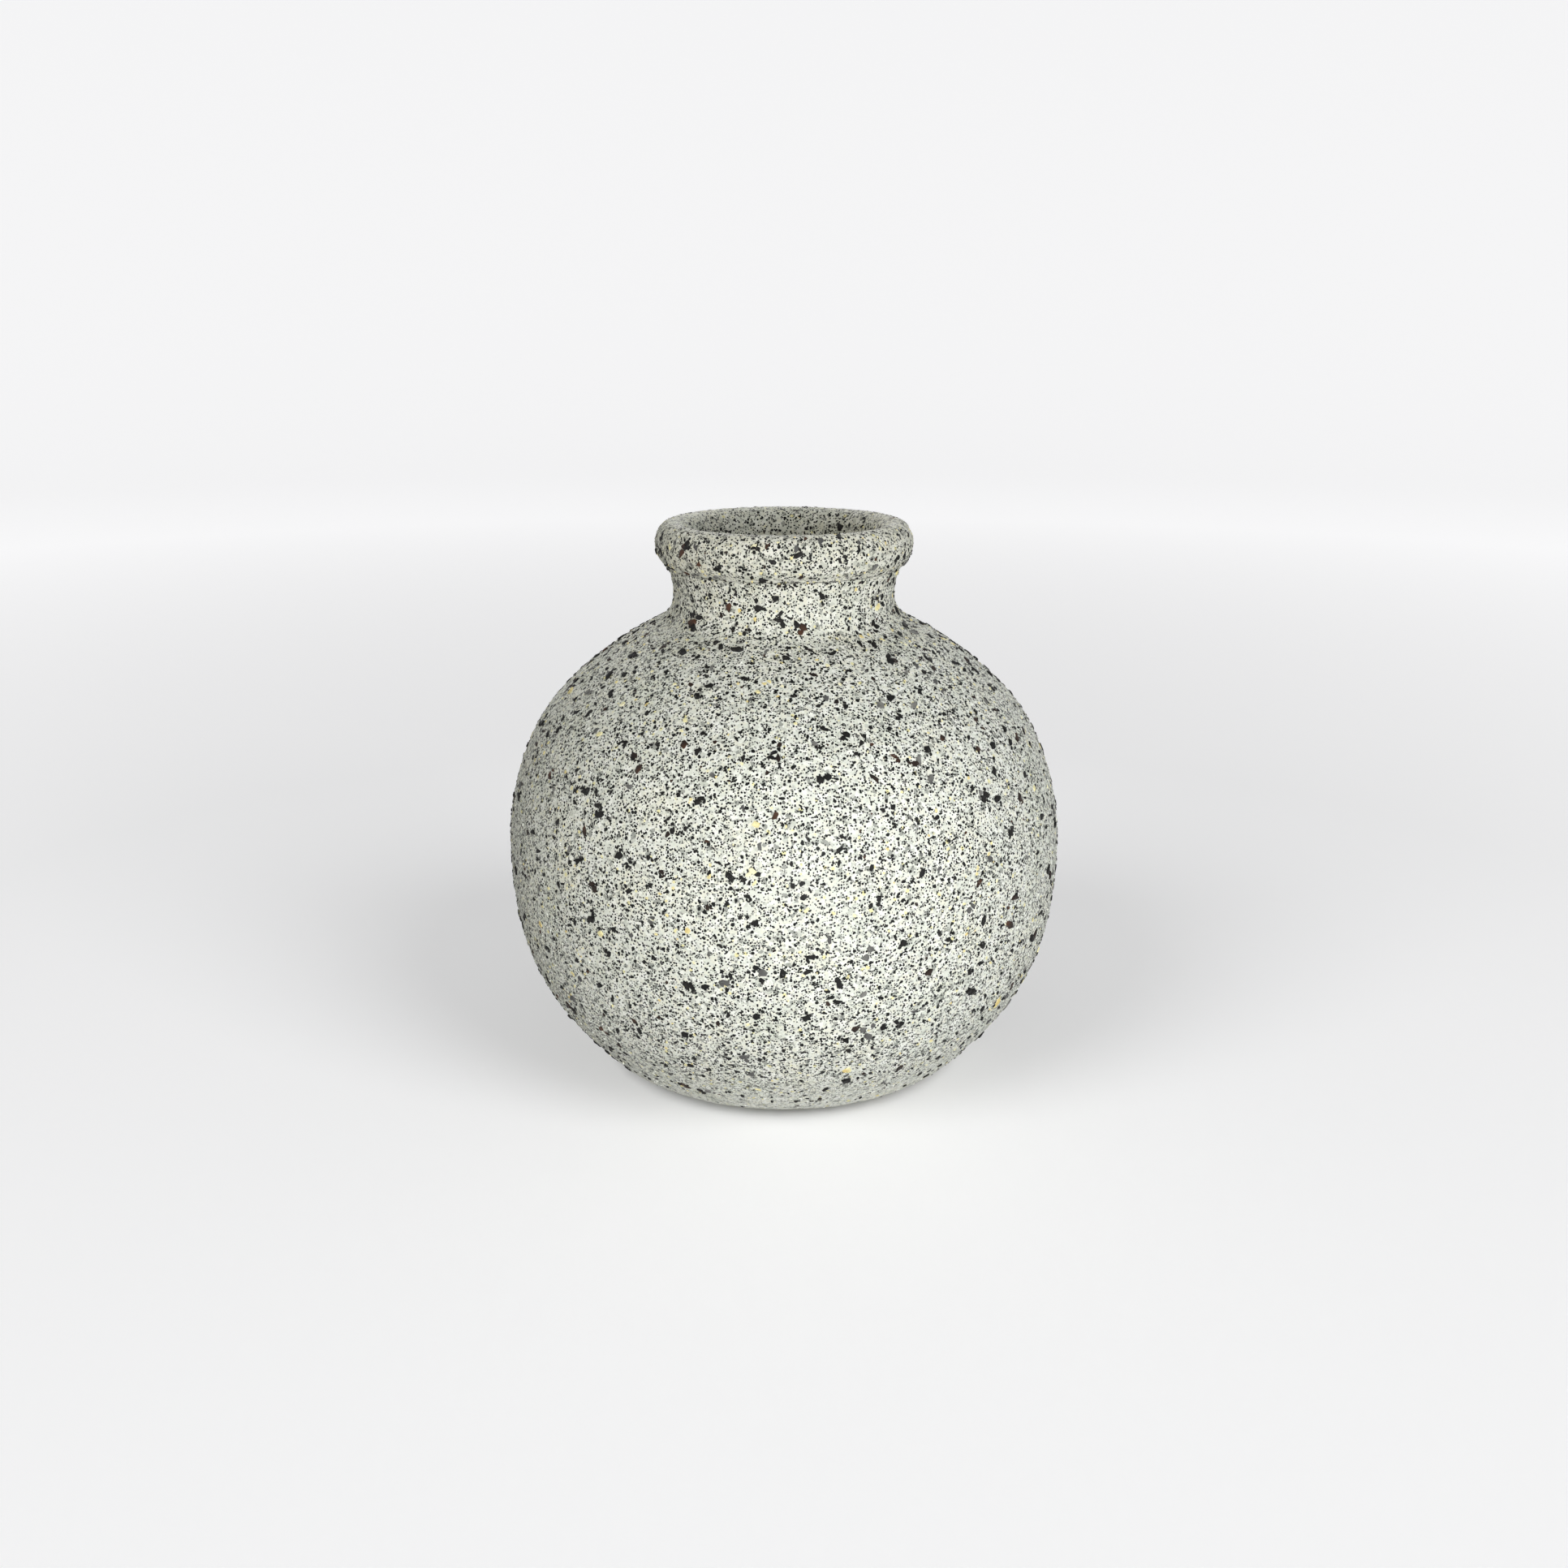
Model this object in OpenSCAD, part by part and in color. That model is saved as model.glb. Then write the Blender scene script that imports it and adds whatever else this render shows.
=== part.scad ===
// Ceramic bud vase: a round-bellied bottle with a short flared neck and a thick
// rounded rim. A thin glazed ceramic shell stands on a ring foot. Outside, over
// the rim and down the throat it carries a stone-effect coat, and stone chips of
// four colours are bedded on that coat.
// Millimetres, +Z up. The origin is the centre of the foot, on the plane it stands on.

/* [Body] */
// Diameter of the body at its widest line
body_d = 101.4; // [96:0.2:108]
// Radius of the side curve just below the widest line
low_side_r = 85.5; // [75:0.5:95]
// Angle that this curve turns through
low_side_turn = 7.6; // [5:0.2:10]
// Radius of the belly curve under it
belly_r = 40.8; // [38:0.2:44]
// Angle that the belly curve turns through
belly_turn = 29.7; // [27:0.1:32]
// Radius of the flatter curve between belly and foot edge
haunch_r = 89.2; // [80:0.2:100]
// Angle that this flatter curve turns through
haunch_turn = 6.4; // [5:0.2:8]
// Radius of the rounded edge that runs down to the foot
foot_edge_r = 10.35; // [9.5:0.05:12]

/* [Shoulder and neck] */
// Radius of the side curve just above the widest line
high_side_r = 46.4; // [42:0.2:50]
// Angle that this curve turns through
high_side_turn = 27.4; // [24:0.2:30]
// Radius of the tighter shoulder curve
shoulder_r = 27.3; // [24:0.1:31]
// Angle that the shoulder curve turns through
shoulder_turn = 16.6; // [14:0.2:19]
// Radius of the flatter curve that runs up to the neck
crown_r = 64.7; // [58:0.1:70]
// Angle that this flatter curve turns through
crown_turn = 20; // [18:0.5:22]
// Radius of the hollow where the shoulder turns up into the neck
neck_hollow_r = 5.2; // [4:0.1:7]
// Radius of the neck's outward flare
neck_flare_r = 14.5; // [12:0.5:18]
// Angle that the flare turns through
neck_flare_turn = 22; // [18:0.5:25]

/* [Rim] */
// Height of the rim's rounded section
rim_h = 7.65; // [7:0.05:8.4]
// How far the rim's section reaches out past its crest
rim_out = 2.8; // [2.4:0.1:3.4]
// How far the rim's crest lies inside the outside of the neck's top
crest_inset = 0.7; // [0.3:0.1:1]
// Thickness of the fine bead in the crease under the rim
ridge_w = 0.6; // [0.4:0.1:0.8]

/* [Walls and foot] */
// Whole wall, from the face of the coat to the face of the glaze
wall_t = 3.2; // [2.6:0.1:3.6]
// Thickness of the stone-effect coat
coat_t = 0.4; // [0.3:0.05:0.6]
// Thickness of the glaze inside
glaze_t = 0.3; // [0.2:0.05:0.4]
// Height of the inside floor above the foot
floor_z = 4.4; // [4:0.1:4.8]
// Inner radius of the ring that the vase stands on
foot_ring_r = 23.5; // [20:0.5:25]
// Depth of the hollow inside that ring
foot_recess = 1.2; // [0.8:0.1:1.6]
// Slope of the outside where the coat begins, above the bare foot
coat_start = 14; // [10:1:20]

/* [Stone chips] */
// Number of chips of each colour
chips_each = 48; // [12:1:60]
// Smallest size across a chip
chip_min = 0.9; // [0.6:0.1:1]
// Largest size across a chip
chip_max = 1.7; // [1.2:0.1:2]
// How far a chip stands proud of the coat
chip_proud = 0.25; // [0.1:0.05:0.3]

/* [Hidden] */
$fn = 96;
// An outline has one point for every so many degrees of curve
arc_step = 3;
foot_turn = 90 - low_side_turn - belly_turn - haunch_turn;
neck_turn = high_side_turn + shoulder_turn + crown_turn;
// The outline from foot to waist as [radius, turn]: a negative turn bends outward
BODY_ARCS = [[foot_edge_r, foot_turn], [haunch_r, haunch_turn],
             [belly_r, belly_turn], [low_side_r, low_side_turn],
             [high_side_r, high_side_turn], [shoulder_r, shoulder_turn],
             [crown_r, crown_turn], [neck_hollow_r, -neck_turn]];
FLARE = [neck_flare_r, -neck_flare_turn];
// How many of these arcs lie below the widest line
LOWER_ARCS = 4;

// A place on the outline is [heading, [radius, height]]; heading 0 points outward
// and 90 straight up, and the outward normal is [sin(heading), -cos(heading)].
function normal(heading) = [sin(heading), -cos(heading)];
// What an arc adds to [radius, height] when it turns from one heading to another
function leap(arc, from, to) = sign(arc[1])*arc[0]*(normal(to) - normal(from));
// The place after the first n arcs
function after(arcs, n, at) =
    n == 0 ? at :
    let (last = after(arcs, n - 1, at), heading = last[0] + arcs[n - 1][1])
    [heading, last[1] + leap(arcs[n - 1], last[0], heading)];
// Points along one arc, moved inward by inset, without the arc's end point
function arc_points(arc, at, inset) =
    let (n = ceil(abs(arc[1])/arc_step))
    [for (k = [0:n - 1]) let (heading = at[0] + arc[1]*k/n)
        at[1] + leap(arc, at[0], heading) - inset*normal(heading)];
// Points along a run of arcs, with the last end point
function run_points(arcs, at, inset) =
    let (end = after(arcs, len(arcs), at))
    concat([for (i = [0:len(arcs) - 1]) each arc_points(arcs[i], after(arcs, i, at), inset)],
           [end[1] - inset*normal(end[0])]);
function backwards(points) = [for (i = [len(points) - 1:-1:0]) points[i]];

foot_r = body_d/2 - after(BODY_ARCS, LOWER_ARCS, [0, [0, 0]])[1][0];
FOOT = [0, [foot_r, 0]];
WAIST = after(BODY_ARCS, len(BODY_ARCS), FOOT);
NECK_TOP = after([FLARE], 1, WAIST);
throat_r = WAIST[1][0] - wall_t;
throat_z = WAIST[1][1];

// The coat's own run of arcs, from just above the bare foot to the top of the neck
FOOT_EDGE = [foot_edge_r, coat_start];
COAT_FROM = after([FOOT_EDGE], 1, FOOT);
COAT_ARCS = concat([[foot_edge_r, foot_turn - coat_start]],
                   [for (i = [1:len(BODY_ARCS) - 1]) BODY_ARCS[i]], [FLARE]);

// The rim is two half ellipses that share a crest. Its underside runs through
// the top of the neck, where the fine bead fills the crease.
crest_r = NECK_TOP[1][0] - crest_inset;
rim_in = crest_r - throat_r;
rim_from = -acos(crest_inset/rim_out);
rim_z = NECK_TOP[1][1] - rim_h/2*sin(rim_from);
// Angle past which the rim's underside is clear of the bead
rim_clear = 8;
function rim_points(inset) =
    [for (a = [rim_from + rim_clear:arc_step:90]) rim_point(a, rim_out - inset, inset),
     for (a = [90 + arc_step:arc_step:180]) rim_point(a, rim_in - inset, inset)];
function rim_point(a, reach, inset) =
    [crest_r + reach*cos(a), rim_z + (rim_h/2 - inset)*sin(a)];
// The bead's outline, from the side of the neck round to the rim's underside
bead_from = -110;
bead_to = 20;
bead_step = 13;
BEAD = [for (a = [bead_from:bead_step:bead_to]) NECK_TOP[1] + ridge_w/2*[cos(a), sin(a)]];

// Wall points nearer the floor than this are left out, so the corner has no sliver
floor_gap = 0.2;
// The inside of the hollow, from the edge of the floor up to the throat
function hollow_points(inset, floor_at) =
    let (corner_r = foot_edge_r - inset, down = foot_edge_r - floor_at,
         edge = [foot_r + sqrt(corner_r*corner_r - down*down), floor_at],
         wall = run_points(BODY_ARCS, FOOT, inset))
    concat([edge], [for (p = wall) if (p[1] > floor_at + floor_gap) p]);

// Chips lie on the outline between two heights, spaced by the golden angle
CHIP_ARCS = concat(BODY_ARCS, [FLARE]);
CHIP_COLOURS = 4;
chip_low = 2.5;
chip_below_neck_top = 1.5;
chip_high = NECK_TOP[1][1] - chip_below_neck_top;
chip_count = CHIP_COLOURS*chips_each;
golden_angle = 137.508;
chip_corners = 6;
// Seeded numbers per chip: height, azimuth, size, stretch, spin, then its corners
chip_draws = 5 + chip_corners;
chip_seed = 41;
// How far a chip strays from its even place, up and across
chip_wander = 2;
// The most that a chip is stretched, and its shortest corner as a share of its radius
chip_stretch = 0.4;
corner_min = 0.75;
// The place on the outline at a height
function place_at(z, i = 0) =
    let (from = after(CHIP_ARCS, i, FOOT), to = after(CHIP_ARCS, i + 1, FOOT), arc = CHIP_ARCS[i])
    z > to[1][1] && i < len(CHIP_ARCS) - 1 ? place_at(z, i + 1) :
    let (heading = acos(cos(from[0]) - (z - from[1][1])/(sign(arc[1])*arc[0])))
    [heading, from[1] + leap(arc, from[0], heading)];

// Fired clay shell with its ring foot, bare at the foot and under the coat elsewhere
module ceramic_body() {
    color([0.86, 0.83, 0.77])
    rotate_extrude()
    polygon(concat(
        [[0, foot_recess], [foot_ring_r - foot_recess, foot_recess], [foot_ring_r, 0]],
        run_points([FOOT_EDGE], FOOT, 0),
        run_points(COAT_ARCS, COAT_FROM, coat_t),
        rim_points(coat_t),
        [[throat_r + coat_t, throat_z]],
        backwards(hollow_points(wall_t - glaze_t, floor_z - glaze_t)),
        [[0, floor_z - glaze_t]]));
}

// Stone-effect coat: a skin over the outside, over the rim and down the throat
module stone_coat() {
    color([0.76, 0.77, 0.72])
    rotate_extrude()
    polygon(concat(
        run_points(COAT_ARCS, COAT_FROM, 0),
        BEAD,
        rim_points(0),
        [[throat_r, throat_z], [throat_r + coat_t, throat_z]],
        backwards(rim_points(coat_t)),
        backwards(run_points(COAT_ARCS, COAT_FROM, coat_t))));
}

// Glaze that makes the inside watertight, from the end of the throat over the floor
module liner_glaze() {
    color([0.90, 0.89, 0.85])
    rotate_extrude()
    polygon(concat(
        [[0, floor_z - glaze_t]],
        hollow_points(wall_t - glaze_t, floor_z - glaze_t),
        backwards(hollow_points(wall_t, floor_z)),
        [[0, floor_z]]));
}

// One flat angular chip that lies face down at the origin
module chip(size, stretch, corners) {
    linear_extrude(chip_proud)
    polygon([for (k = [0:chip_corners - 1])
        let (a = 360*k/chip_corners, reach = size/2*corners[k])
        reach*[stretch*cos(a), sin(a)/stretch]]);
}

// All the chips of one colour, each tangent to the face of the coat
module chips(colour) {
    draws = rands(0, 1, chips_each*chip_draws, chip_seed + colour);
    for (i = [0:chips_each - 1]) {
        d = [for (k = [0:chip_draws - 1]) draws[i*chip_draws + k]];
        turn = CHIP_COLOURS*i + colour;
        z = chip_low + (chip_high - chip_low)*(turn + 0.5)/chip_count + chip_wander*(d[0] - 0.5);
        place = place_at(z);
        azimuth = golden_angle*turn + chip_wander/place[1][0]*(d[1] - 0.5)*180/PI;
        rotate(azimuth)
        translate([place[1][0], 0, place[1][1]])
        rotate([0, 180 - place[0], 0])
        rotate(360*d[4])
        chip(chip_min + (chip_max - chip_min)*d[2]*d[2], 1 + chip_stretch*d[3],
             [for (k = [5:chip_draws - 1]) corner_min + (1 - corner_min)*d[k]]);
    }
}
module black_chips() {
    color([0.11, 0.11, 0.10]) chips(0);
}
module brown_chips() {
    color([0.27, 0.18, 0.12]) chips(1);
}
module grey_chips() {
    color([0.38, 0.38, 0.36]) chips(2);
}
module ochre_chips() {
    color([0.82, 0.74, 0.42]) chips(3);
}

ceramic_body();
stone_coat();
liner_glaze();
black_chips();
brown_chips();
grey_chips();
ochre_chips();
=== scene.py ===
"""Looks of the ceramic bud vase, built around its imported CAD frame.

The CAD ceramic shell and the glaze inside keep their shapes and get materials. The
stone-effect coat is remade on the same outline, and the chips in the same places, with
smaller chips and pale grit between them.
Lengths are metres; MM turns millimetres into metres.
"""
import math

import bpy
import numpy as np
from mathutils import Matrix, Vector, noise


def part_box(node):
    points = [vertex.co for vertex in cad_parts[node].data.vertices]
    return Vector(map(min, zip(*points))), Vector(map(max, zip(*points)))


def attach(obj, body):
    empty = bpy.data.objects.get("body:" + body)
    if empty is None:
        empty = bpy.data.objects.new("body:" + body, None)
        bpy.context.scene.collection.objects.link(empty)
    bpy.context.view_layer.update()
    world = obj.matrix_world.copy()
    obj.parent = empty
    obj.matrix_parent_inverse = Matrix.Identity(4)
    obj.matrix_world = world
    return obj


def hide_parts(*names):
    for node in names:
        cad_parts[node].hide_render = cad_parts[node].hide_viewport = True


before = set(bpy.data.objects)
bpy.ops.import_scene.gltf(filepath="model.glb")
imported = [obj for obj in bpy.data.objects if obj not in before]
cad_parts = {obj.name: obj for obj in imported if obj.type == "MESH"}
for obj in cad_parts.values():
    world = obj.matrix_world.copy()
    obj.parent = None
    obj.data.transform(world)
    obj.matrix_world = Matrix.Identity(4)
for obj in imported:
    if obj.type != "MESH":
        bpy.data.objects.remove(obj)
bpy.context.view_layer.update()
MM = 0.001

# ---------------------------------------------------------------- outline of the vase

BODY_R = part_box("stone_coat")[1].x
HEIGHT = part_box("stone_coat")[1].z
COAT_T = 0.4 * MM
WALL_T = 3.2 * MM
COAT_START = 14.0            # heading, in degrees, where the coat begins above the foot
LOWER_ARCS = [(10.35, 46.3), (89.2, 6.4), (40.8, 29.7), (85.5, 7.6)]
UPPER_ARCS = [(46.4, 27.4), (27.3, 16.6), (64.7, 20.0), (5.2, -64.0)]
FLARE = (14.5, -22.0)
CREST_INSET = 0.7 * MM
RIM_OUT = 2.8 * MM
RIM_H = 7.65 * MM
BEAD_R = 0.3 * MM
COLLAR_TURN = 6.0            # how much of the flare, in degrees, is made with the rim
GROOVE_DEPTH = 0.24 * MM
GROOVE_WIDTH = 0.24 * MM


def normal_of(heading):
    return np.array([math.sin(math.radians(heading)), -math.cos(math.radians(heading))])


def run_of_arcs(arcs, heading, start, inset=0.0, step=0.5):
    """Points along arcs of (radius in mm, turn in degrees), moved inward by inset, and the end."""
    points, at = [], np.array(start, float)
    for radius, turn in arcs:
        bend = math.copysign(radius * MM, turn)
        for h in np.linspace(heading, heading + turn, max(2, int(abs(turn) / step))):
            points.append(at + bend * (normal_of(h) - normal_of(heading)) - inset * normal_of(h))
        at = at + bend * (normal_of(heading + turn) - normal_of(heading))
        heading += turn
    return points, at


def smooth_run(points, spacing):
    """The same line as evenly spaced points, with the length along it and unit normals."""
    points = np.array(points)
    keep = np.r_[True, np.linalg.norm(np.diff(points, axis=0), axis=1) > 1e-7]
    points = points[keep]
    along = np.r_[0, np.cumsum(np.linalg.norm(np.diff(points, axis=0), axis=1))]
    where = np.linspace(0, along[-1], max(3, round(along[-1] / spacing) + 1))
    line = np.stack([np.interp(where, along, points[:, k]) for k in (0, 1)], 1)
    tangent = np.gradient(line, axis=0)
    tangent /= np.linalg.norm(tangent, axis=1)[:, None]
    return line, where, np.stack([tangent[:, 1], -tangent[:, 0]], 1)


foot_edge, _ = run_of_arcs(LOWER_ARCS, 0, (0, 0))
FOOT_R = BODY_R - foot_edge[-1][0]
_, coat_from = run_of_arcs([(LOWER_ARCS[0][0], COAT_START)], 0, (FOOT_R, 0))
coat_arcs = [(LOWER_ARCS[0][0], LOWER_ARCS[0][1] - COAT_START)] + LOWER_ARCS[1:]
LOWER, equator = run_of_arcs(coat_arcs, COAT_START, coat_from)
upper, waist = run_of_arcs(UPPER_ARCS, 90, equator)
flare, flare_at = run_of_arcs([(FLARE[0], FLARE[1] + COLLAR_TURN)], 90, waist)
collar, neck_top = run_of_arcs([(FLARE[0], -COLLAR_TURN)], 90 + FLARE[1] + COLLAR_TURN, flare_at,
                               step=0.4)
UPPER = upper + flare
THROAT_R = waist[0] - WALL_T
CREST_R = neck_top[0] - CREST_INSET
RIM_FROM = -math.acos(CREST_INSET / RIM_OUT)
RIM_Z = neck_top[1] - RIM_H / 2 * math.sin(RIM_FROM)
if abs(RIM_Z + RIM_H / 2 - HEIGHT) > 0.05 * MM:
    raise ValueError("the outline here doesn't end at the CAD coat's height")


def rim_run():
    """From the groove and bead under the rim, round the rim and down the throat."""
    points = []
    for at in collar[:-1]:
        gap = np.linalg.norm(at - neck_top) - BEAD_R
        points.append(at - (GROOVE_DEPTH * math.exp(-(gap / GROOVE_WIDTH) ** 2), 0))
    points = [p for p in points if np.linalg.norm(p - neck_top) > BEAD_R]
    points += [neck_top + BEAD_R * np.array([math.cos(a), math.sin(a)])
               for a in np.radians(np.linspace(-100, 20, 9))]
    for a in np.linspace(RIM_FROM + 0.14, math.pi, 120):
        reach = RIM_OUT if a < math.pi / 2 else CREST_R - THROAT_R
        points.append(np.array([CREST_R + reach * math.cos(a), RIM_Z + RIM_H / 2 * math.sin(a)]))
    return points + [np.array([THROAT_R, z]) for z in np.linspace(RIM_Z, waist[1], 12)[1:]]


RIM = rim_run()

# ---------------------------------------------------------------- relief of the coat


RELIEF_ASIDE = (331.7, 417.3, 273.9)    # mm: keeps the noise's own planes off the vase
RELIEF_LAYERS = [             # waves in a mm, shift, and height in mm
    (0.16, (0, 0, 0), 0.05),  # lumps
    (0.62, (7, 3, 1), 0.07),  # pebbles
    (1.45, (2, 9, 4), 0.07),  # grain
]
CALM_LEAST = 0.25             # share of the relief left right beside the bead
CALM_FROM, CALM_RUN = 0.4 * MM, 1.2 * MM


def relief(point):
    """How far the gritty face of the coat stands off the even outline, in metres."""
    p = point / MM + Vector(RELIEF_ASIDE)
    return sum(noise.noise(p * waves + Vector(shift)) * tall for waves, shift, tall in RELIEF_LAYERS) * MM


def bead_calm(line):
    """A factor that quiets the relief beside the fine bead, so that the bead stays crisp."""
    gap = np.linalg.norm(line - neck_top, axis=1)
    return CALM_LEAST + (1 - CALM_LEAST) * np.clip((gap - CALM_FROM) / CALM_RUN, 0, 1)


# ---------------------------------------------------------------- meshes

BAKE_MAP = "OFBake"          # the name of the UV map laid out on each piece
UV_GAP, UV_EDGE = 0.004, 0.003
FACE_TOP = 0.94              # the gritty face fills the map up to here
HIDDEN_SPOT = [[0.01, 0.95], [0.99, 0.95], [0.99, 0.99], [0.01, 0.99]]
BACK_ROWS = 24
THIN_RUN, THIN_LEAST = 2.5 * MM, 0.15   # the relief eases out over this run at the foot
BODY_COLUMNS, BODY_SPACING = 640, 0.52 * MM
RIM_COLUMNS, RIM_SPACING = 560, 0.22 * MM


def new_piece(name, vertices, faces, uvs=None, smooth=True):
    """A mesh object. faces is a list of index arrays, one per number of corners."""
    mesh = bpy.data.meshes.new(name)
    corners = np.concatenate([f.ravel() for f in faces])
    counts = np.concatenate([np.full(len(f), f.shape[1]) for f in faces])
    mesh.vertices.add(len(vertices))
    mesh.vertices.foreach_set("co", np.asarray(vertices, np.float32).ravel())
    mesh.loops.add(len(corners))
    mesh.loops.foreach_set("vertex_index", corners.astype(np.int32))
    mesh.polygons.add(len(counts))
    mesh.polygons.foreach_set("loop_start", np.r_[0, np.cumsum(counts)[:-1]].astype(np.int32))
    mesh.polygons.foreach_set("use_smooth", np.full(len(counts), smooth))
    mesh.update(calc_edges=True)
    mesh.validate()
    if uvs is not None:
        layer = mesh.uv_layers.new(name=BAKE_MAP)
        flat = np.concatenate([u.reshape(-1, 2) for u in uvs]).astype(np.float32)
        layer.data.foreach_set("uv", flat.ravel())
    piece = bpy.data.objects.new(name, mesh)
    bpy.context.scene.collection.objects.link(piece)
    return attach(piece, "root")


def revolved(line, columns):
    """Vertices of a line of (radius, height) points turned about the axis, row by row."""
    a = np.linspace(0, 2 * math.pi, columns, endpoint=False)
    ring = np.stack([np.cos(a), np.sin(a)], 1)
    return np.concatenate([np.c_[ring * r, np.full(columns, z)] for r, z in line])


def grid_faces(rows, columns, first=0):
    """Quads between the rows of a closed band, facing away from the axis when rows go up."""
    i, j = np.meshgrid(np.arange(rows - 1), np.arange(columns), indexing="ij")
    a, b = i * columns + j, i * columns + (j + 1) % columns
    return first + np.stack([a, b, b + columns, a + columns], -1).reshape(-1, 4)


def band_uvs(rows, columns, low, high):
    """The band as two half-turn strips, one above the other, between two heights of the map."""
    i, j = np.meshgrid(np.arange(rows - 1), np.arange(columns), indexing="ij")
    half = columns // 2
    strip, along = j // half, j % half
    tall = (high - low) / 2
    span = (tall - UV_GAP) / (rows - 1)
    u0, u1 = along / half, (along + 1) / half
    v0 = low + strip * tall + i * span
    corner = [(u0, v0), (u1, v0), (u1, v0 + span), (u0, v0 + span)]
    placed = [np.stack([UV_EDGE + u * (1 - 2 * UV_EDGE), v], -1) for u, v in corner]
    return np.stack(placed, -2).reshape(-1, 4, 2)


def sharpen_rings(mesh, columns, starts):
    """Keep the shading of a band's face apart from that of its edges."""
    ends = np.zeros(len(mesh.edges) * 2, np.int32)
    mesh.edges.foreach_get("vertices", ends)
    low, high = ends.reshape(-1, 2).min(1), ends.reshape(-1, 2).max(1)
    sharp = np.zeros(len(low), bool)
    for start in starts:
        sharp |= (low >= start) & (high < start + columns)
    mesh.edges.foreach_set("use_edge_sharp", sharp)


def coat_band(name, points, columns, spacing, thin_start=False):
    """One closed band of the coat: its gritty face, its back against the clay, and two edges."""
    line, along, normals = smooth_run(points, spacing)
    rows = len(line)
    face = revolved(line, columns)
    out = revolved(normals, columns)
    ease = np.ones(rows)
    if thin_start:
        ease = np.clip(along / THIN_RUN, THIN_LEAST, 1)
    shift = np.array([relief(Vector(v)) for v in face]) * np.repeat(ease, columns)
    shift *= np.repeat(bead_calm(line), columns)
    face = face + out * shift[:, None]
    back_rows = np.linspace(0, rows - 1, BACK_ROWS).round().astype(int)
    back = revolved(line[back_rows] - COAT_T * normals[back_rows], columns)
    faces, uvs = [grid_faces(rows, columns)], [band_uvs(rows, columns, 0, FACE_TOP)]
    vertices = np.concatenate([face, back])
    first = len(face)
    inner = grid_faces(BACK_ROWS, columns, first)[:, ::-1]
    ring = np.arange(columns)
    after = (ring + 1) % columns
    low_edge = np.stack([first + ring, first + after, after, ring], -1)
    top, back_top = (rows - 1) * columns, first + (BACK_ROWS - 1) * columns
    high_edge = np.stack([top + ring, top + after, back_top + after, back_top + ring], -1)
    hidden = np.concatenate([inner, low_edge, high_edge])
    faces.append(hidden)
    uvs.append(np.broadcast_to(np.array(HIDDEN_SPOT), (len(hidden), 4, 2)))
    piece = new_piece(name, vertices, [np.concatenate(faces)], [np.concatenate(uvs)])
    sharpen_rings(piece.data, columns, (0, top, first, back_top))
    return piece


coat_lower = coat_band("coat_lower_body", LOWER, BODY_COLUMNS, BODY_SPACING, thin_start=True)
coat_upper = coat_band("coat_upper_body", UPPER, BODY_COLUMNS, BODY_SPACING)
coat_rim = coat_band("coat_rim_and_throat", RIM, RIM_COLUMNS, RIM_SPACING)
for piece in (coat_lower, coat_upper, coat_rim):
    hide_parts("stone_coat")

# ---------------------------------------------------------------- places on the coat

PLACE_STEP = 0.1 * MM
SPARSE_BELOW = 5 * MM        # chips are few below this height
SPARSE_SHARE = 0.3
BARE_BELOW = 1.3 * MM        # none lie below this, so that none reach past the foot
CROWDED_ABOVE = 74 * MM      # more lie on the neck and the rim
CROWDING = 1.8
THROAT_CROWDING = 0.5
CALM_ABOVE = RIM_Z + RIM_H / 2 - 1.6 * MM    # chips lie flatter over the crest of the rim
CALM_SHARE = 0.5
PAIR_APART = 0.62            # of the chip's size, from it to its smaller neighbour
CHIP_REACH = 2.6 * MM        # corners nearer than this belong to the same CAD chip
LARGER_CHIPS, LARGER_SKEW, CLUSTERED = (0.9 * MM, 1.7 * MM), 1.8, 0.3
SMALLER_CHIPS = (0.42 * MM, 0.85 * MM)
GRIT_COUNT, GRIT_SIZES = 7000, (0.4 * MM, 0.85 * MM)
PLACES, _, place_normals = smooth_run(LOWER + UPPER + RIM, PLACE_STEP)


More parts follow.
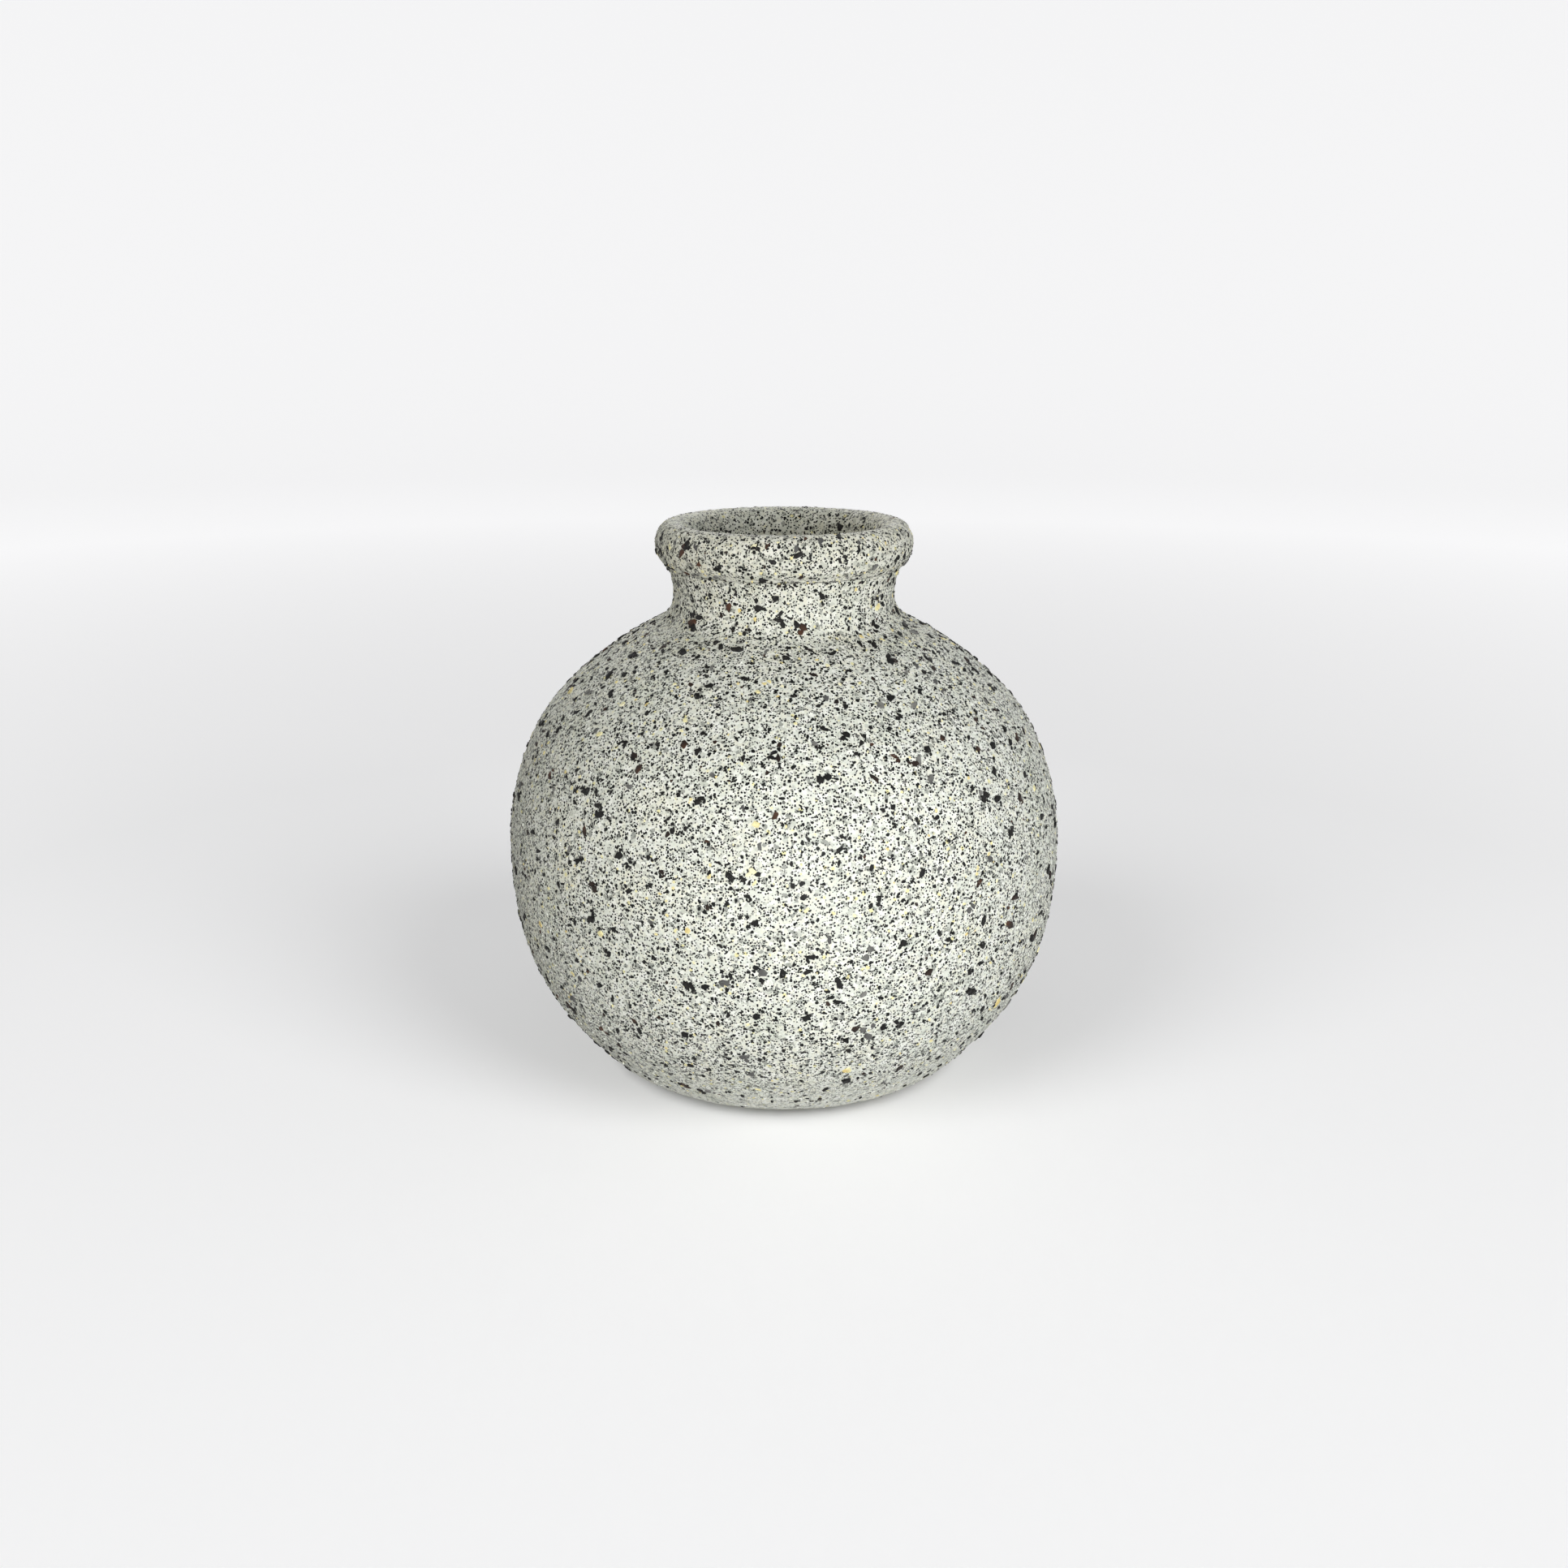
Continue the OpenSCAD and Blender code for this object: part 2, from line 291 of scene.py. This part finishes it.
class Scatter:
    """Seeded chips or grains on the coat: where each lies, how it is turned and its size."""

    def __init__(self, seed):
        self.rng = np.random.RandomState(seed)
        self.row, self.azimuth, self.size = np.zeros(0, int), np.zeros(0), np.zeros(0)

    def add(self, row, azimuth, size):
        self.row = np.r_[self.row, row].astype(int)
        self.azimuth = np.r_[self.azimuth, azimuth]
        self.size = np.r_[self.size, size]

    def fill(self, count, low, high, skew=1.6, clustered=0.0):
        """About count more at random, most of them nearer the low size.

        They are even over the area, but few just above the foot, fewer in the throat and
        more on the neck and rim. A clustered share of them get a smaller neighbour."""
        outside = np.arange(len(PLACES)) < np.argmax(PLACES[:, 1])
        crowding = np.where(PLACES[:, 1] > CROWDED_ABOVE, CROWDING, 1)
        weight = np.cumsum(PLACES[:, 0] * np.where(outside, crowding, THROAT_CROWDING))
        row = np.searchsorted(weight, self.rng.rand(count) * weight[-1])
        azimuth = self.rng.rand(count) * 2 * math.pi
        size = low + (high - low) * self.rng.rand(count) ** skew
        kept = (PLACES[row, 1] > SPARSE_BELOW) | (self.rng.rand(count) < SPARSE_SHARE)
        kept &= PLACES[row, 1] > BARE_BELOW
        row, azimuth, size = row[kept], azimuth[kept], size[kept]
        self.add(row, azimuth, size)
        pair = self.rng.rand(len(row)) < clustered
        way, apart = self.rng.rand(pair.sum()) * 2 * math.pi, PAIR_APART * size[pair]
        lowest = int(np.argmax(PLACES[:, 1] > BARE_BELOW))
        beside = row[pair] + apart * np.sin(way) / PLACE_STEP
        beside = np.clip(beside, lowest, len(PLACES) - 1).astype(int)
        turned = azimuth[pair] + apart * np.cos(way) / PLACES[beside, 0]
        self.add(beside, turned, size[pair] * (0.55 + 0.4 * self.rng.rand(pair.sum())))

    def from_cad(self, node):
        """One for each chip of a CAD node, at its place and of its size."""
        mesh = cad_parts[node].data
        left = np.zeros(len(mesh.vertices) * 3)
        mesh.vertices.foreach_get("co", left)
        left = left.reshape(-1, 3)
        while len(left):
            near = np.linalg.norm(left - left[0], axis=1) < CHIP_REACH
            centre = left[near].mean(0)
            reach = np.linalg.norm(left[near] - centre, axis=1).max()
            at = np.array([math.hypot(centre[0], centre[1]), centre[2]])
            row = np.linalg.norm(PLACES - at, axis=1).argmin()
            self.add([row], [math.atan2(centre[1], centre[0])], [2 * reach])
            left = left[~near]

    def frames(self):
        """Origin, outward normal and two tangents of each, on the gritty face."""
        c, s = np.cos(self.azimuth), np.sin(self.azimuth)
        r, z = PLACES[self.row].T
        nr, nz = place_normals[self.row].T
        origin = np.stack([r * c, r * s, z], 1)
        normal = np.stack([nr * c, nr * s, nz], 1)
        across = np.stack([-s, c, np.zeros_like(c)], 1)
        origin += normal * np.array([relief(Vector(o)) for o in origin])[:, None]
        return origin, normal, across, np.cross(normal, across)


def stones(name, scatter, corners, proud, stretch, sunk=0.12 * MM):
    """Angular chips set into the coat: a sunk base, a smaller uneven top ring and a peak."""
    origin, normal, across, up = scatter.frames()
    rng, count = scatter.rng, len(origin)
    spin = rng.rand(count) * 2 * math.pi
    pull = 1 + stretch * rng.rand(count) ** 1.5
    angle = (np.arange(corners) + 0.75 * (rng.rand(count, corners) - 0.5)) * 2 * math.pi / corners
    reach = scatter.size[:, None] / 2 * (0.66 + 0.62 * rng.rand(count, corners))
    x, y = reach * np.cos(angle) * pull[:, None], reach * np.sin(angle) / pull[:, None]
    height = proud * scatter.size * (0.6 + 0.6 * rng.rand(count))
    height *= np.where(PLACES[scatter.row, 1] > CALM_ABOVE, CALM_SHARE, 1)
    shrink = 0.66 + 0.2 * rng.rand(count, corners)
    top = height[:, None] * (0.7 + 0.5 * rng.rand(count, corners))
    zero = np.zeros((count, 1))
    lx = np.concatenate([x, x * shrink, zero + 0.1 * x[:, :1]], 1)
    ly = np.concatenate([y, y * shrink, zero + 0.1 * y[:, :1]], 1)
    lz = np.concatenate([np.full_like(x, -sunk), top, height[:, None] * 1.15], 1)
    cs, sn = np.cos(spin)[:, None], np.sin(spin)[:, None]
    turned_x, turned_y = lx * cs - ly * sn, lx * sn + ly * cs
    vertices = (origin[:, None] + turned_x[..., None] * across[:, None]
                + turned_y[..., None] * up[:, None] + lz[..., None] * normal[:, None])
    ring = np.arange(corners)
    after = (ring + 1) % corners
    side = np.stack([ring, after, after + corners, ring + corners], 1)
    cap = np.stack([ring + corners, after + corners, np.full(corners, 2 * corners)], 1)
    base = ring[::-1][None]
    first = np.arange(count)[:, None, None] * (2 * corners + 1)
    cells = math.ceil(math.sqrt(count))
    cell = np.stack([np.arange(count) % cells, np.arange(count) // cells], 1)
    flat = np.stack([lx, ly], -1) / (scatter.size * pull)[:, None, None] * 0.84 + 0.5
    flat = (cell[:, None] + np.clip(flat, 0.05, 0.95)) / cells
    faces, uvs = [], []
    for shape in (side, cap, base):
        faces.append((first + shape[None]).reshape(-1, shape.shape[1]))
        uvs.append(flat[:, shape].reshape(-1, shape.shape[1], 2))
    return new_piece(name, vertices.reshape(-1, 3), faces, uvs, smooth=False)


def chip_piece(node, seed, larger, smaller, proud, stretch):
    """The chips of one colour: the CAD ones in their places, and the smaller ones between."""
    scatter = Scatter(seed)
    scatter.from_cad(node)
    scatter.fill(larger, *LARGER_CHIPS, LARGER_SKEW, clustered=CLUSTERED)
    scatter.fill(smaller, *SMALLER_CHIPS)
    piece = stones(node + "_detail", scatter, 6, proud, stretch)
    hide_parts(node)
    return piece


black = chip_piece("black_chips", 11, 680, 4900, 0.2, 0.5)
brown = chip_piece("brown_chips", 12, 170, 500, 0.15, 0.45)
grey = chip_piece("grey_chips", 13, 190, 600, 0.13, 0.4)
ochre = chip_piece("ochre_chips", 14, 36, 1150, 0.1, 0.3)

grit_places = Scatter(15)
grit_places.fill(GRIT_COUNT, *GRIT_SIZES)
grit = stones("pale_grit", grit_places, 5, 0.15, 0.4)

# ---------------------------------------------------------------- material helpers


NOISE_ASIDE = (131.7, 217.3, 173.9)   # keeps noises of different sizes from sharing a plane


class Nodes:
    """A material's node tree with short calls for the nodes used here."""

    def __init__(self, name):
        self.material = bpy.data.materials.new(name)
        self.material.use_nodes = True
        self.tree = self.material.node_tree
        self.shader = self.tree.nodes["Principled BSDF"]

    def node(self, kind, settings=None, **inputs):
        made = self.tree.nodes.new(kind)
        for key, value in (settings or {}).items():
            setattr(made, key, value)
        for key, value in inputs.items():
            self.put(made, key.replace("_", " "), value)
        return made

    def put(self, made, key, value):
        socket = made.inputs[key]
        if isinstance(value, bpy.types.NodeSocket):
            self.tree.links.new(value, socket)
        else:
            socket.default_value = value

    def math(self, operation, a, b=0.0, c=0.0):
        made = self.node("ShaderNodeMath", {"operation": operation})
        for socket, value in zip(made.inputs, (a, b, c)):
            if isinstance(value, bpy.types.NodeSocket):
                self.tree.links.new(value, socket)
            else:
                socket.default_value = value
        return made.outputs[0]

    def millimetres(self):
        place = self.node("ShaderNodeTexCoord").outputs["Object"]
        made = self.node("ShaderNodeVectorMath", {"operation": "SCALE"}, Vector=place, Scale=1 / MM)
        return made.outputs[0]

    def noise(self, at, size, detail=2.0, roughness=0.5, colour=False):
        aside = self.node("ShaderNodeVectorMath", {"operation": "ADD"})
        self.tree.links.new(at, aside.inputs[0])
        aside.inputs[1].default_value = NOISE_ASIDE
        made = self.node("ShaderNodeTexNoise", Vector=aside.outputs[0], Scale=1 / size,
                         Detail=detail, Roughness=roughness)
        return made.outputs["Color" if colour else "Fac"]

    def warp(self, at, size, amount):
        push = self.node("ShaderNodeVectorMath", {"operation": "SUBTRACT"})
        self.tree.links.new(self.noise(at, size, colour=True), push.inputs[0])
        push.inputs[1].default_value = (0.5, 0.5, 0.5)
        made = self.node("ShaderNodeVectorMath", {"operation": "MULTIPLY_ADD"})
        self.tree.links.new(push.outputs[0], made.inputs[0])
        made.inputs[1].default_value = (amount, amount, amount)
        self.tree.links.new(at, made.inputs[2])
        return made.outputs[0]

    def cells(self, at, size, feature="F1"):
        return self.node("ShaderNodeTexVoronoi", {"feature": feature}, Vector=at, Scale=1 / size)

    def ramp(self, fac, stops, constant=False):
        made = self.node("ShaderNodeValToRGB", Fac=fac)
        ramp = made.color_ramp
        ramp.interpolation = "CONSTANT" if constant else "LINEAR"
        while len(ramp.elements) < len(stops):
            ramp.elements.new(1)
        for element, (position, colour) in zip(ramp.elements, stops):
            element.position = position
            element.color = (*colour, 1) if len(colour) == 3 else colour
        return made.outputs["Color"]

    def mix(self, fac, a, b, blend="MIX"):
        made = self.node("ShaderNodeMix", {"data_type": "RGBA", "blend_type": blend})
        for index, value in ((0, fac), (6, a), (7, b)):
            if isinstance(value, bpy.types.NodeSocket):
                self.tree.links.new(value, made.inputs[index])
            else:
                made.inputs[index].default_value = (*value, 1) if isinstance(value, tuple) else value
        return made.outputs[2]

    def range(self, value, low, high, to_low, to_high):
        return self.node("ShaderNodeMapRange", Value=value, From_Min=low, From_Max=high,
                         To_Min=to_low, To_Max=to_high).outputs[0]

    def finish(self, colour, roughness, height=None, depth=0.1, strength=1.0, **constants):
        """Join colour, roughness and bump (a height of 0 to 1 that is depth mm tall)."""
        self.put(self.shader, "Base Color", colour)
        self.put(self.shader, "Roughness", roughness)
        if height is not None:
            bump = self.node("ShaderNodeBump", Height=height, Strength=strength, Distance=depth * MM)
            self.tree.links.new(bump.outputs[0], self.shader.inputs["Normal"])
        for key, value in constants.items():
            self.put(self.shader, key.replace("_", " "), value)
        return self.material


def srgb(r, g, b):
    return tuple(c / 12.92 if c <= 0.04045 else ((c + 0.055) / 1.055) ** 2.4 for c in (r, g, b))


# ---------------------------------------------------------------- materials

WHITE_GRAIN = srgb(0.915, 0.921, 0.893)
CREAM_GRAIN = srgb(0.88, 0.883, 0.832)
PALE_GRAIN = srgb(0.86, 0.87, 0.833)
GREY_GRAIN = srgb(0.79, 0.8, 0.762)
DARK_GRAIN = srgb(0.62, 0.63, 0.6)
BLACK_SPECK = srgb(0.035, 0.035, 0.035)
SMOKE_SPECK = srgb(0.3, 0.3, 0.29)
OCHRE_FLECK = srgb(0.9, 0.875, 0.63)
CREASE_BELOW = 0.22          # mm from the top of the neck down to the painted shade line under the bead
CREASE_WIDTH = 0.26
RIM_SHADE_FROM, RIM_SHADE_TO = 76, 94  # mm: painted shade: the coat is painted slightly darker and warmer from here up to the rim, where less light falls
RIM_SHADE_TINT = (0.89, 0.875, 0.845)
# painted shade: colour of the thin dark line under the bead, standing in for the groove's shadow
CREASE_SHADE_COLOUR = srgb(0.27, 0.27, 0.25)
SPECK_EDGE = (-0.03, 0.04)   # where a speck fades in, in cells either side of its reach


def specks(m, at, size, share, largest):
    """A mask of specks: in a share of the cells, a warped blob up to largest (mm) across."""
    cells = m.cells(at, size)
    draw = m.node("ShaderNodeSeparateColor", Color=cells.outputs["Color"]).outputs
    chosen = m.math("LESS_THAN", draw[0], share)
    reach = m.math("MULTIPLY", m.math("MULTIPLY_ADD", draw[1], 0.6, 0.4), largest / 2 / size)
    inside = m.math("SUBTRACT", reach, cells.outputs["Distance"])
    edge = m.range(inside, *SPECK_EDGE, 0, 1)
    return m.math("MULTIPLY", edge, chosen), draw[2]


def stone_material():
    m = Nodes("stone_coat_looks")
    mm = m.millimetres()
    at = m.warp(mm, 0.5, 0.34)
    grains = m.cells(at, 0.62)
    pick = m.node("ShaderNodeSeparateColor", Color=grains.outputs["Color"]).outputs
    colour = m.ramp(pick[0], [(0.0, DARK_GRAIN), (0.07, GREY_GRAIN), (0.2, PALE_GRAIN),
                              (0.5, CREAM_GRAIN), (0.72, WHITE_GRAIN), (0.95, PALE_GRAIN)], constant=True)
    patch = m.noise(mm, 9, 3)
    tint = m.ramp(patch, [(0.3, (0.93, 0.94, 0.91)), (0.5, (1, 1, 1)), (0.72, (1.0, 0.99, 0.955))])
    colour = m.mix(1.0, colour, tint, "MULTIPLY")
    powder = m.noise(mm, 0.22, 3, 0.7)
    dusted = m.ramp(powder, [(0.34, (0.68, 0.68, 0.67)), (0.48, (1, 1, 1)), (0.7, (1.05, 1.05, 1.05))])
    colour = m.mix(0.42, colour, dusted, "MULTIPLY")
    fleck, _ = specks(m, m.warp(mm, 0.7, 0.5), 1.25, 0.15, 0.75)
    colour = m.mix(m.math("MULTIPLY", fleck, 0.85), colour, OCHRE_FLECK)
    height = m.node("ShaderNodeSeparateXYZ", Vector=mm).outputs["Z"]
    plenty = m.range(height, 3, 14, 0.35, 1)
    smoke, shade = specks(m, m.warp(mm, 0.4, 0.25), 0.55, 0.24, 0.5)
    smoke = m.math("MULTIPLY", smoke, m.math("MULTIPLY_ADD", shade, 0.7, 0.25))
    colour = m.mix(m.math("MULTIPLY", smoke, plenty), colour, SMOKE_SPECK)
    dark, _ = specks(m, m.warp(mm, 0.3, 0.2), 0.37, 0.76, 0.42)
    colour = m.mix(m.math("MULTIPLY", dark, plenty), colour, BLACK_SPECK)
    rare, _ = specks(m, m.warp(mm, 0.45, 0.4), 0.85, 0.42, 0.7)
    colour = m.mix(m.math("MULTIPLY", rare, plenty), colour, BLACK_SPECK)
    # painted shade: a thin dark line just under the bead, broken up by noise, where the groove's shadow
    # falls
    wander = m.math("MULTIPLY_ADD", m.noise(mm, 2.2, 3), 0.7, -0.35)
    crease = m.math("ADD", m.math("SUBTRACT", height, float(neck_top[1] / MM) - CREASE_BELOW), wander)
    broken = m.range(m.noise(mm, 1.1, 3, 0.6), 0.4, 0.6, 0.15, 0.7)
    crease_painted_shade = m.range(m.math("ABSOLUTE", crease), 0.06, CREASE_WIDTH, 1, 0)
    colour = m.mix(m.math("MULTIPLY", crease_painted_shade, broken), colour, CREASE_SHADE_COLOUR)
    # painted highlight: a pale line on the bead just above the painted shade, where light catches the
    # bead
    bead_painted_highlight = m.range(m.math("ABSOLUTE", m.math("SUBTRACT", crease, 0.5)), 0.12, 0.34, 0.45, 0)
    colour = m.mix(bead_painted_highlight, colour, WHITE_GRAIN)
    stand = m.math("MULTIPLY_ADD", pick[1], 0.45, m.math("MULTIPLY", powder, 0.7))
    roughness = m.range(m.math("MAXIMUM", dark, rare), 0, 1, 0.86, 0.5)
    roughness = m.math("MULTIPLY_ADD", m.noise(mm, 0.8), 0.12, m.math("SUBTRACT", roughness, 0.06))
    # painted shade: darker and warmer towards the rim, standing in for the weaker light high on the vase
    rim_painted_shade = m.range(height, RIM_SHADE_FROM, RIM_SHADE_TO, 0, 1)
    colour = m.mix(rim_painted_shade, colour, m.mix(1.0, colour, RIM_SHADE_TINT, "MULTIPLY"))
    return m.finish(colour, roughness, stand, depth=0.14, strength=0.62, Specular_IOR_Level=0.2)


def chip_material(name, colours, low_rough, high_rough):
    """Chips of one colour: each a little different, with worn pale dust and tiny pits."""
    m = Nodes(name)
    mm = m.millimetres()
    each = m.noise(mm, 2.6, 1)
    colour = m.ramp(each, [(0.3, colours[0]), (0.5, colours[1]), (0.68, colours[2])])
    streak = m.noise(mm, 0.25, 4, 0.65)
    streaked = m.ramp(streak, [(0.3, (0.62, 0.62, 0.62)), (0.6, (1.15, 1.15, 1.15))])
    colour = m.mix(0.7, colour, streaked, "MULTIPLY")
    dust = m.range(m.noise(mm, 0.6, 3, 0.6), 0.62, 0.78, 0, 0.25)
    colour = m.mix(dust, colour, GREY_GRAIN)
    roughness = m.range(streak, 0.3, 0.7, low_rough, high_rough)
    return m.finish(colour, roughness, m.noise(mm, 0.14, 3, 0.6), depth=0.04, strength=0.7,
                    Specular_IOR_Level=0.22)


def clay_material():
    """Bare fired clay at the foot: warm pale buff with fine sand, pits and scuffed patches."""
    m = Nodes("fired_clay_looks")
    mm = m.millimetres()
    colour = m.ramp(m.noise(mm, 14, 4, 0.6), [(0.3, srgb(0.80, 0.755, 0.68)),
                                              (0.55, srgb(0.86, 0.82, 0.755)),
                                              (0.75, srgb(0.89, 0.86, 0.80))])
    sand = m.noise(mm, 0.35, 4, 0.7)
    colour = m.mix(0.6, colour, m.ramp(sand, [(0.3, (0.74, 0.72, 0.69)), (0.52, (1, 1, 1))]), "MULTIPLY")
    grit, _ = specks(m, m.warp(mm, 0.5, 0.3), 1.5, 0.25, 0.5)
    colour = m.mix(m.math("MULTIPLY", grit, 0.75), colour, srgb(0.42, 0.36, 0.3))
    scuff = m.range(m.noise(m.warp(mm, 5, 4), 3, 5, 0.7), 0.55, 0.7, 0, 0.4)
    colour = m.mix(scuff, colour, srgb(0.72, 0.69, 0.64))
    return m.finish(colour, m.range(sand, 0.3, 0.7, 0.78, 0.95), sand, depth=0.12, strength=0.6)


def glaze_material():
    """The liner glaze: glossy cream with fine crazing, pinholes and slight thick and thin runs."""
    m = Nodes("liner_glaze_looks")
    mm = m.millimetres()
    colour = m.ramp(m.noise(mm, 12, 4, 0.6), [(0.3, srgb(0.76, 0.74, 0.68)),
                                              (0.7, srgb(0.86, 0.845, 0.79))])
    cracks = m.cells(m.warp(mm, 2, 1.2), 3.4, "DISTANCE_TO_EDGE").outputs["Distance"]
    line = m.range(cracks, 0.0, 0.035, 0.45, 0)
    colour = m.mix(line, colour, srgb(0.5, 0.45, 0.37))
    pin, _ = specks(m, mm, 2.6, 0.3, 0.45)
    colour = m.mix(m.math("MULTIPLY", pin, 0.6), colour, srgb(0.4, 0.36, 0.3))
    waves = m.noise(mm, 4, 2)
    return m.finish(colour, m.range(waves, 0.3, 0.7, 0.14, 0.26), waves, depth=0.1, strength=0.5)


def dress(piece, material):
    piece.data.materials.clear()
    piece.data.materials.append(material)


stone_looks = stone_material()
for piece in (coat_lower, coat_upper, coat_rim, grit):
    dress(piece, stone_looks)
dress(black, chip_material("black_chip_looks", [srgb(0.03, 0.03, 0.03), srgb(0.065, 0.063, 0.06),
                                                srgb(0.115, 0.11, 0.104)], 0.5, 0.75))
dress(brown, chip_material("brown_chip_looks", [srgb(0.1, 0.078, 0.068), srgb(0.165, 0.115, 0.09),
                                                srgb(0.3, 0.195, 0.135)], 0.45, 0.7))
dress(grey, chip_material("grey_chip_looks", [srgb(0.28, 0.28, 0.28), srgb(0.38, 0.38, 0.37),
                                              srgb(0.5, 0.5, 0.48)], 0.55, 0.8))
dress(ochre, chip_material("ochre_chip_looks", [srgb(0.87, 0.79, 0.53), srgb(0.91, 0.88, 0.67),
                                                srgb(0.93, 0.915, 0.78)], 0.6, 0.82))
dress(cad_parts["ceramic_body"], clay_material())
dress(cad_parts["liner_glaze"], glaze_material())

# ---------------------------------------------------------------- floor, light, camera

FLOOR_FLAT = 1.1
FLOOR_CURVE = 0.6
WALL_RISE = 0.4
FLOOR_DROP = -0.05 * MM        # just clear of the foot ring
FLOOR_COLUMNS = 96
PAPER = (0.84, 0.84, 0.845, 1)
GLOW_FROM, GLOW_TO = 0.22, 0.8     # the paper glows more with the distance between these
GLOW_NEAR, GLOW_FAR = 0.22, 0.52
FOOT_DARK = 2.5 * MM          # painted contact shadow: the paper doesn't glow up to here past the foot, then the glow fades in
FOOT_SHADE = 6.5 * MM


def pale_paper():
    """Matt paper that glows faintly, more with the distance and not at all at the foot, a painted contact
    shadow.
    """
    paper = bpy.data.materials.new("pale_paper")
    paper.use_nodes = True
    tree = paper.node_tree
    shader = tree.nodes["Principled BSDF"]
    shader.inputs["Base Color"].default_value = PAPER
    shader.inputs["Roughness"].default_value = 0.95
    shader.inputs["Emission Color"].default_value = (1, 1, 1.01, 1)
    place = tree.nodes.new("ShaderNodeTexCoord")
    away = tree.nodes.new("ShaderNodeVectorMath")
    away.operation = "LENGTH"
    both = tree.nodes.new("ShaderNodeMath")
    both.operation = "MULTIPLY"
    tree.links.new(place.outputs["Object"], away.inputs[0])
    spans = [(GLOW_FROM, GLOW_TO, GLOW_NEAR, GLOW_FAR), (FOOT_R + FOOT_DARK, FOOT_R + FOOT_SHADE, 0, 1)]
    for factor, span in zip(both.inputs, spans):
        ease = tree.nodes.new("ShaderNodeMapRange")
        for key, value in zip(("From Min", "From Max", "To Min", "To Max"), span):
            ease.inputs[key].default_value = value
        tree.links.new(away.outputs["Value"], ease.inputs["Value"])
        tree.links.new(ease.outputs[0], factor)
    tree.links.new(both.outputs[0], shader.inputs["Emission Strength"])
    return paper


def floor_and_backdrop():
    """A pale round floor that curves up into a wall on every side."""
    outline = [(0.0, 0.0), (0.2, 0.0), (0.6, 0.0), (FLOOR_FLAT, 0.0)]
    for a in np.radians(np.linspace(6, 90, 15)):
        outline.append((FLOOR_FLAT + FLOOR_CURVE * math.sin(a), FLOOR_CURVE * (1 - math.cos(a))))
    outline.append((FLOOR_FLAT + FLOOR_CURVE, FLOOR_CURVE + WALL_RISE))
    columns = FLOOR_COLUMNS
    verts = [(0, 0, 0)]
    for r, z in outline[1:]:
        verts += [(r * math.cos(2 * math.pi * k / columns), r * math.sin(2 * math.pi * k / columns), z)
                  for k in range(columns)]
    faces = [(0, 1 + k, 1 + (k + 1) % columns) for k in range(columns)]
    for row in range(len(outline) - 2):
        for k in range(columns):
            a, b = 1 + row * columns + k, 1 + row * columns + (k + 1) % columns
            faces.append((a, a + columns, b + columns, b))
    mesh = bpy.data.meshes.new("studio_floor")
    mesh.from_pydata(verts, [], faces)
    mesh.polygons.foreach_set("use_smooth", [True] * len(faces))
    floor = bpy.data.objects.new("studio_floor", mesh)
    floor.location.z = FLOOR_DROP
    bpy.context.scene.collection.objects.link(floor)
    floor.visible_diffuse = False
    mesh.materials.append(pale_paper())


def soft_light(name, azimuth, elevation, distance, size, power, colour=(1, 1, 1), only=None):
    """A round soft light aimed at the vase; azimuth runs to the right of the camera's side."""
    data = bpy.data.lights.new(name, "AREA")
    data.shape, data.size, data.energy, data.color = "DISK", size, power, colour
    lamp = bpy.data.objects.new(name, data)
    a, e = math.radians(azimuth), math.radians(elevation)
    way = Vector((math.sin(a) * math.cos(e), -math.cos(a) * math.cos(e), math.sin(e)))
    lamp.location = Vector((0, 0, 0.045)) + way * distance
    lamp.rotation_euler = way.to_track_quat("Z", "Y").to_euler()
    lamp.visible_camera = False
    if only is not None:
        lamp.light_linking.receiver_collection = only
    bpy.context.scene.collection.objects.link(lamp)


def lights():
    vase = bpy.data.collections.new("lit_by_near_lights")
    for piece in (coat_lower, coat_upper, coat_rim, grit, black, brown, grey, ochre,
                  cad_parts["ceramic_body"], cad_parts["liner_glaze"]):
        vase.objects.link(piece)
    inside = bpy.data.collections.new("lit_by_inside_light")
    inside.objects.link(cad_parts["liner_glaze"])
    floor = bpy.data.collections.new("lit_by_floor_lights")
    floor.objects.link(bpy.data.objects["studio_floor"])
    soft_light("near_key", 14, 2, 0.42, 0.18, 1.46, (1, 1, 1), vase)
    soft_light("soft_right", 44, 27, 1.4, 0.9, 4.3, (0.95, 0.98, 1.01), vase)
    soft_light("soft_left", -50, 27, 1.4, 0.9, 3.9, (1, 0.97, 0.88), vase)
    soft_light("back_light", 180, 35, 0.9, 0.6, 5.0, (1, 1, 1), vase)
    soft_light("inside_light", 0, 90, 0.5, 0.12, 1.7, (1, 1, 1), inside)
    soft_light("floor_right", 46, 36, 1.4, 0.8, 8.9, (1, 1, 1), floor)
    soft_light("floor_left", -46, 36, 1.4, 0.8, 7.4, (1, 1, 1), floor)
    world = bpy.data.worlds.new("studio_air")
    world.use_nodes = True
    world.node_tree.nodes["Background"].inputs["Color"].default_value = (1, 1, 1, 1)
    world.node_tree.nodes["Background"].inputs["Strength"].default_value = 0.272
    bpy.context.scene.world = world


def camera():
    data = bpy.data.cameras.new("photo_view")
    data.lens, data.sensor_width = 36, 36
    data.clip_start = 0.01
    holder = bpy.data.objects.new("photo_view", data)
    holder.location = (0, -0.2802, 0.1356)
    holder.rotation_euler = (math.radians(90 - 16.79), 0, 0)
    bpy.context.scene.collection.objects.link(holder)
    bpy.context.scene.camera = holder


floor_and_backdrop()
lights()
camera()
bpy.context.scene.view_settings.view_transform = "Standard"
